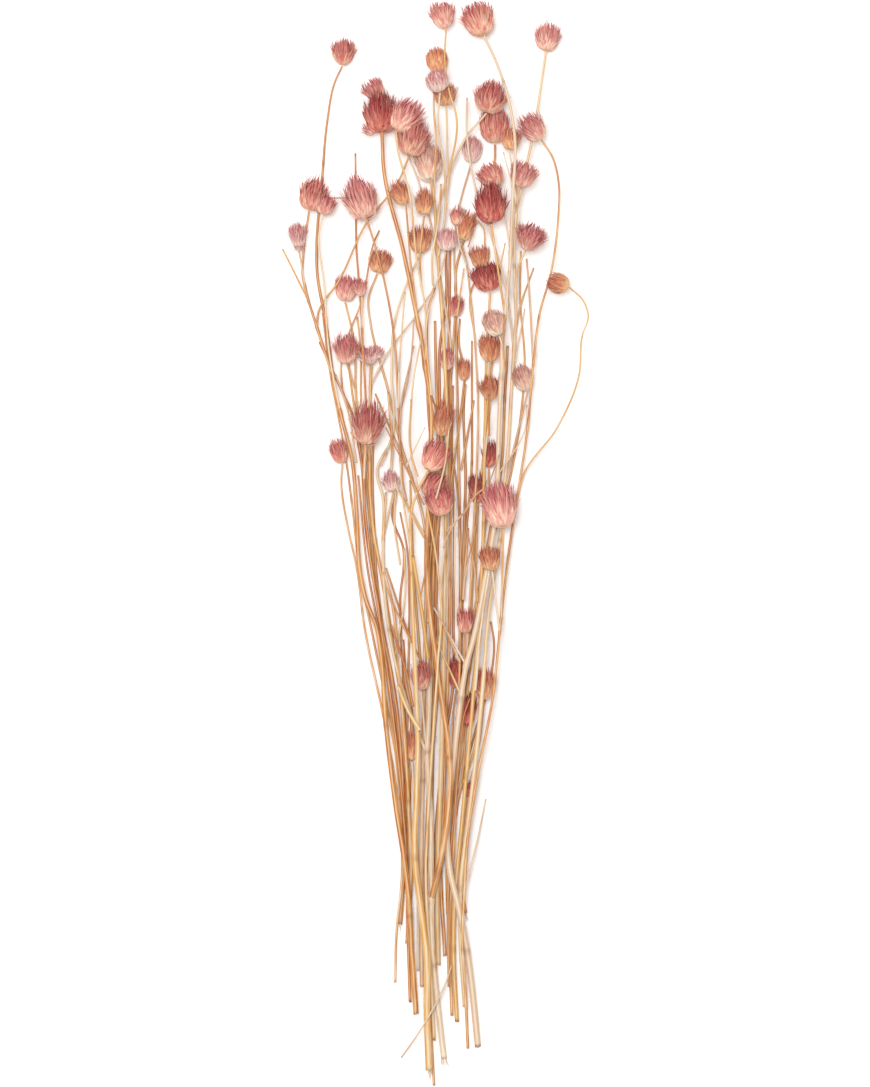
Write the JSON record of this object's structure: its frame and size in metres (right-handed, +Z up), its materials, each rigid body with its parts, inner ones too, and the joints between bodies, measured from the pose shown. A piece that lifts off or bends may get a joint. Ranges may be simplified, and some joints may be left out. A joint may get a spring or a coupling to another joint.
{
  "type": "bunch of dried globe amaranth",
  "caption": "Loose bunch of dried globe amaranth lying down: forking straw-coloured stems, cut at one end, with small round papery pink heads.",
  "frame": {"origin": "middle of the underside of the bunch's bounding box, on the surface that it lies on", "axes": "+Y along the bunch from its cut ends to its heads, +X across it, +Z up from the surface"},
  "size_m": [0.1692, 0.5958, 0.0452],
  "materials": {
    "stem_straw": "dry straw-coloured stem with fine lengthwise ridges, satin",
    "bracts_rose": "dry papery bracts, deep rose, matte",
    "bracts_pink": "dry papery bracts, soft pink, matte",
    "bracts_lilac": "dry papery bracts, pale lilac pink, matte",
    "bracts_orange": "dry papery bracts, orange rose, matte",
    "bracts_wine": "dry papery bracts, wine red, matte",
    "bracts_cream": "dry papery bracts, pale cream, matte"
  },
  "bodies": {
    "root": {"head_01": "bracts_rose", "head_02": "bracts_pink", "head_03": "bracts_rose", "head_04": "bracts_pink", "head_05": "bracts_orange", "head_06": "bracts_lilac", "head_07": "bracts_orange", "head_08": "bracts_pink", "head_09_10_11": "bracts_wine", "head_12": "bracts_cream", "head_13": "bracts_rose", "head_14": "bracts_rose", "head_15": "bracts_orange", "head_16": "bracts_pink", "head_17": "bracts_lilac", "head_18": "bracts_rose", "head_19": "bracts_pink", "head_20_21": "bracts_rose", "head_22": "bracts_pink", "head_23": "bracts_orange", "head_24": "bracts_orange", "head_25": "bracts_wine", "head_26": "bracts_lilac", "head_27": "bracts_orange", "head_28": "bracts_lilac", "head_29_30": "bracts_orange", "head_31": "bracts_pink", "head_32": "bracts_orange", "head_33": "bracts_orange", "head_34": "bracts_wine", "head_35": "bracts_pink", "head_37": "bracts_rose", "head_38": "bracts_orange", "head_39": "bracts_cream", "head_40": "bracts_orange", "head_41": "bracts_pink", "head_42": "bracts_lilac", "head_45": "bracts_cream", "head_46": "bracts_orange", "head_47": "bracts_orange", "head_48": "bracts_rose", "head_49": "bracts_rose", "head_50": "bracts_rose", "head_51": "bracts_lilac", "head_52_53": "bracts_rose", "head_56": "bracts_pink", "head_57": "bracts_orange", "head_58": "bracts_rose", "head_59": "bracts_rose", "head_61": "bracts_orange", "stem_03_16": "stem_straw", "stem_09": "stem_straw", "stem_34_04": "stem_straw", "stem_37_12": "stem_straw", "stem_42_48_35": "stem_straw", "stem_49_01": "stem_straw", "stem_53_50_twig": "stem_straw", "stem_61_62_14_58": "stem_straw", "stem_63_33_47": "stem_straw"}
  },
  "joints": []
}
